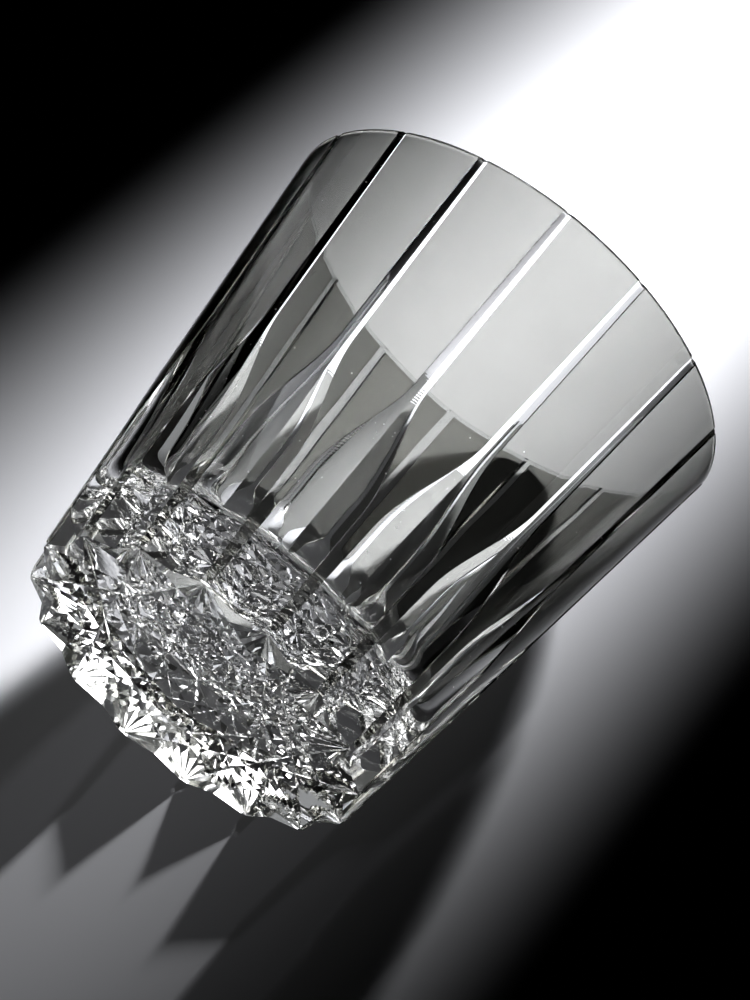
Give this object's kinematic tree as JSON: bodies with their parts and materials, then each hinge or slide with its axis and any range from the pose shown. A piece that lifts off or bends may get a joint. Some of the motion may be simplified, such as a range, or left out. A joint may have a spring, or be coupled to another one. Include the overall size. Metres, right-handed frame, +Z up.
{
  "type": "whiskey tumbler",
  "caption": "Straight-sided, slightly tapered cut-crystal tumbler with a thick clear base, smoke-grey colour casing cut through by vertical lines and leaves, and a star cut underneath.",
  "frame": {"origin": "centre of the foot, on the plane the glass stands on", "axes": "+Z up the glass's axis towards the lip; wall cuts lie at +X and every 22.5 degrees round from it"},
  "size_m": [0.0858, 0.0858, 0.0882],
  "materials": {
    "crystal": "clear, polished, with wheel-cut facets",
    "smoke_casing": "polished smoke-grey colour casing"
  },
  "bodies": {
    "root": {"crystal_body": "crystal", "smoke_panel_01": "smoke_casing", "smoke_panel_02": "smoke_casing", "smoke_panel_03": "smoke_casing", "smoke_panel_04": "smoke_casing", "smoke_panel_05": "smoke_casing", "smoke_panel_06": "smoke_casing", "smoke_panel_07": "smoke_casing", "smoke_panel_08": "smoke_casing", "smoke_panel_09": "smoke_casing", "smoke_panel_10": "smoke_casing", "smoke_panel_11": "smoke_casing", "smoke_panel_12": "smoke_casing", "smoke_panel_13": "smoke_casing", "smoke_panel_14": "smoke_casing", "smoke_panel_15": "smoke_casing", "smoke_panel_16": "smoke_casing"}
  },
  "joints": []
}
